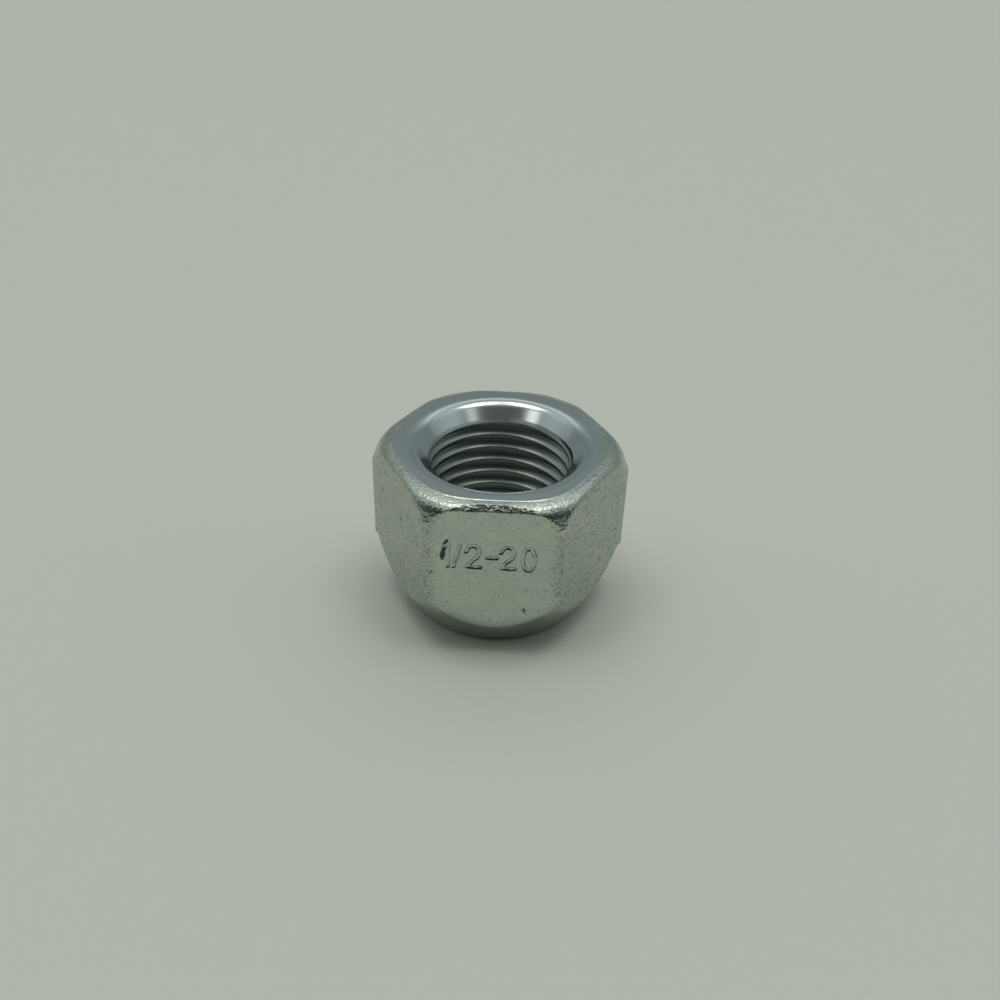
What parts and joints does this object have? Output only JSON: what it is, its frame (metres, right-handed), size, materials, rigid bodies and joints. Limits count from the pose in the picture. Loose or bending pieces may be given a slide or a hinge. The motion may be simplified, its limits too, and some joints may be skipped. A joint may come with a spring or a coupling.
{
  "type": "lug nut",
  "caption": "Open-ended hexagonal lug nut with a conical seat, a chamfered crown and a countersunk, tapped through bore.",
  "frame": {"origin": "middle of the small end of the conical seat, on the surface that the nut stands on", "axes": "+Z along the thread, from the seat end to the crown; one flat of the hexagon faces -Y"},
  "size_m": [0.0214, 0.0188, 0.0147],
  "materials": {
    "zinc_plated_steel": "bright zinc plate on cold-forged steel, turned on the crown face and in the countersink"
  },
  "bodies": {
    "root": {"lug_nut": "zinc_plated_steel"}
  },
  "joints": []
}
